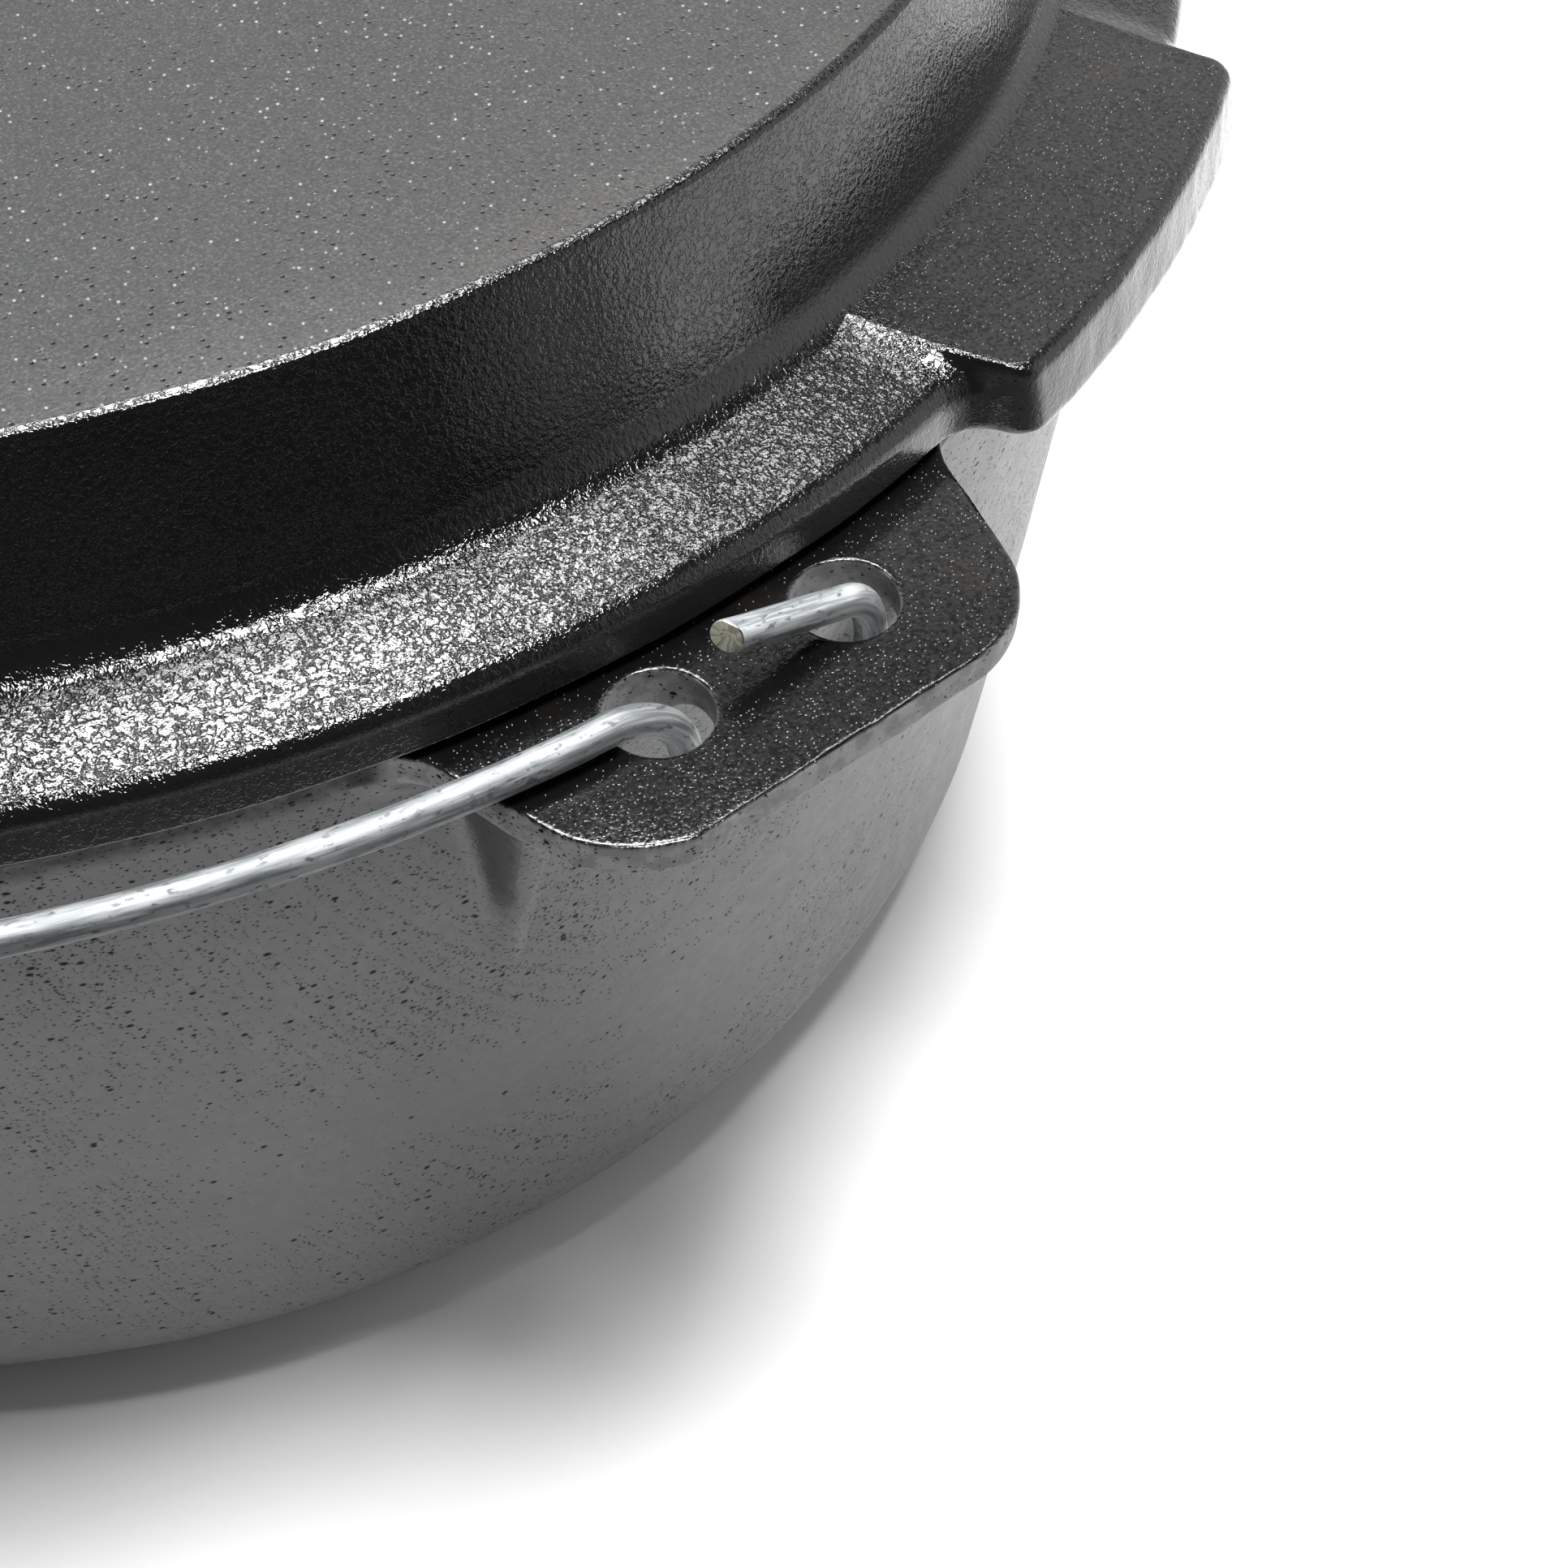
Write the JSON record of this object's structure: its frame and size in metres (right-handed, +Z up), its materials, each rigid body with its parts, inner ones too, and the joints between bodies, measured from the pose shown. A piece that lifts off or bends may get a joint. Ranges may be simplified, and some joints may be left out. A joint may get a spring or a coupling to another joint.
{
  "type": "camp dutch oven",
  "caption": "Round cast-iron pot with drilled side ears, a flanged lid with a raised flat top that lifts off, and a wire bail hooked through the ears, for cooking over coals.",
  "frame": {"origin": "centre of the pot's flat base, on the ground", "axes": "+Z up along the pot's axis, X through the two ears, and the bail lies on the -Y side at rest"},
  "size_m": [0.341, 0.3107, 0.1557],
  "materials": {
    "pot_iron": "bare seasoned cast iron, fine sand grain",
    "lid_iron": "bare seasoned cast iron, fine sand grain with glints",
    "bail_wire": "zinc-plated drawn wire"
  },
  "bodies": {
    "pot": {"pot": "pot_iron"},
    "lid": {"lid": "lid_iron"},
    "bail": {"bail": "bail_wire"}
  },
  "joints": [
    {"name": "lid_lift", "type": "slide", "parent": "pot", "child": "lid", "axis": [0, 0, 1], "range_m": [0, 0.18]},
    {"name": "bail_swing", "type": "hinge", "parent": "pot", "child": "bail", "pos_m": [0, 0.0018, 0.1215], "axis": [-1, 0, 0], "range_deg": [0, 110]}
  ]
}
